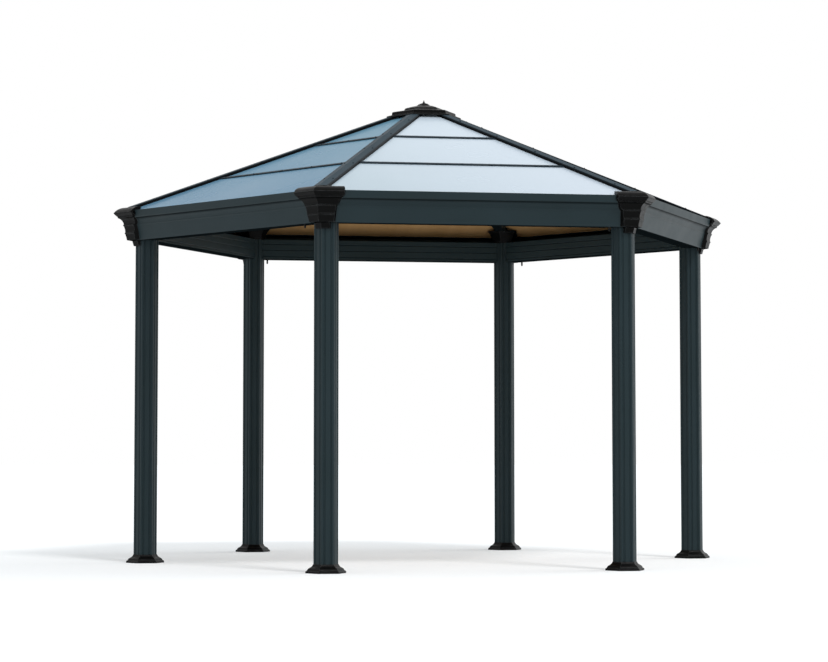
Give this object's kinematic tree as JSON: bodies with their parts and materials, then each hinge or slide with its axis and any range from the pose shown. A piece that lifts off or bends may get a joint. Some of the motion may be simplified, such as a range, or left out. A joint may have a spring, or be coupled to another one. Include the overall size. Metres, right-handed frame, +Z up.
{
  "type": "hexagonal gazebo",
  "caption": "Hexagonal garden gazebo: open frame of fluted posts, moulded cornice and a shallow hipped roof of flat clear panels with a stepped crown and finial",
  "frame": {"origin": "on the ground at the middle of the six posts", "axes": "+Z up through the finial, +X towards the right-hand corner, the front side faces -Y"},
  "size_m": [4.436, 3.8418, 3.2841],
  "materials": {
    "frame_paint": "satin",
    "black_moulding": "satin",
    "roof_panel": "gloss",
    "base_plate": "satin"
  },
  "bodies": {
    "root": {"base_plates": "base_plate", "beam_back": "frame_paint", "beam_back_left": "frame_paint", "beam_back_right": "frame_paint", "beam_front": "frame_paint", "beam_front_left": "frame_paint", "beam_front_right": "frame_paint", "capitals": "black_moulding", "corner_crown_back_left": "black_moulding", "corner_crown_back_right": "black_moulding", "corner_crown_front_left": "black_moulding", "corner_crown_front_right": "black_moulding", "corner_crown_left": "black_moulding", "corner_crown_right": "black_moulding", "cornice_back": "frame_paint", "cornice_back_left": "frame_paint", "cornice_back_right": "frame_paint", "cornice_front": "frame_paint", "cornice_front_left": "frame_paint", "cornice_front_right": "frame_paint", "finial": "black_moulding", "foot_cover_back_left": "black_moulding", "foot_cover_back_right": "black_moulding", "foot_cover_front_left": "black_moulding", "foot_cover_front_right": "black_moulding", "foot_cover_left": "black_moulding", "foot_cover_right": "black_moulding", "glazing_bars": "frame_paint", "hip_caps": "frame_paint", "hip_rafter_back_left": "frame_paint", "hip_rafter_back_right": "frame_paint", "hip_rafter_front_left": "frame_paint", "hip_rafter_front_right": "frame_paint", "hip_rafter_left": "frame_paint", "hip_rafter_right": "frame_paint", "hub": "frame_paint", "post_back_left": "frame_paint", "post_back_right": "frame_paint", "post_front_left": "frame_paint", "post_front_right": "frame_paint", "post_left": "frame_paint", "post_right": "frame_paint", "roof_crown": "black_moulding", "roof_panels_back": "roof_panel", "roof_panels_back_left": "roof_panel", "roof_panels_back_right": "roof_panel", "roof_panels_front": "roof_panel", "roof_panels_front_left": "roof_panel", "roof_panels_front_right": "roof_panel"}
  },
  "joints": []
}
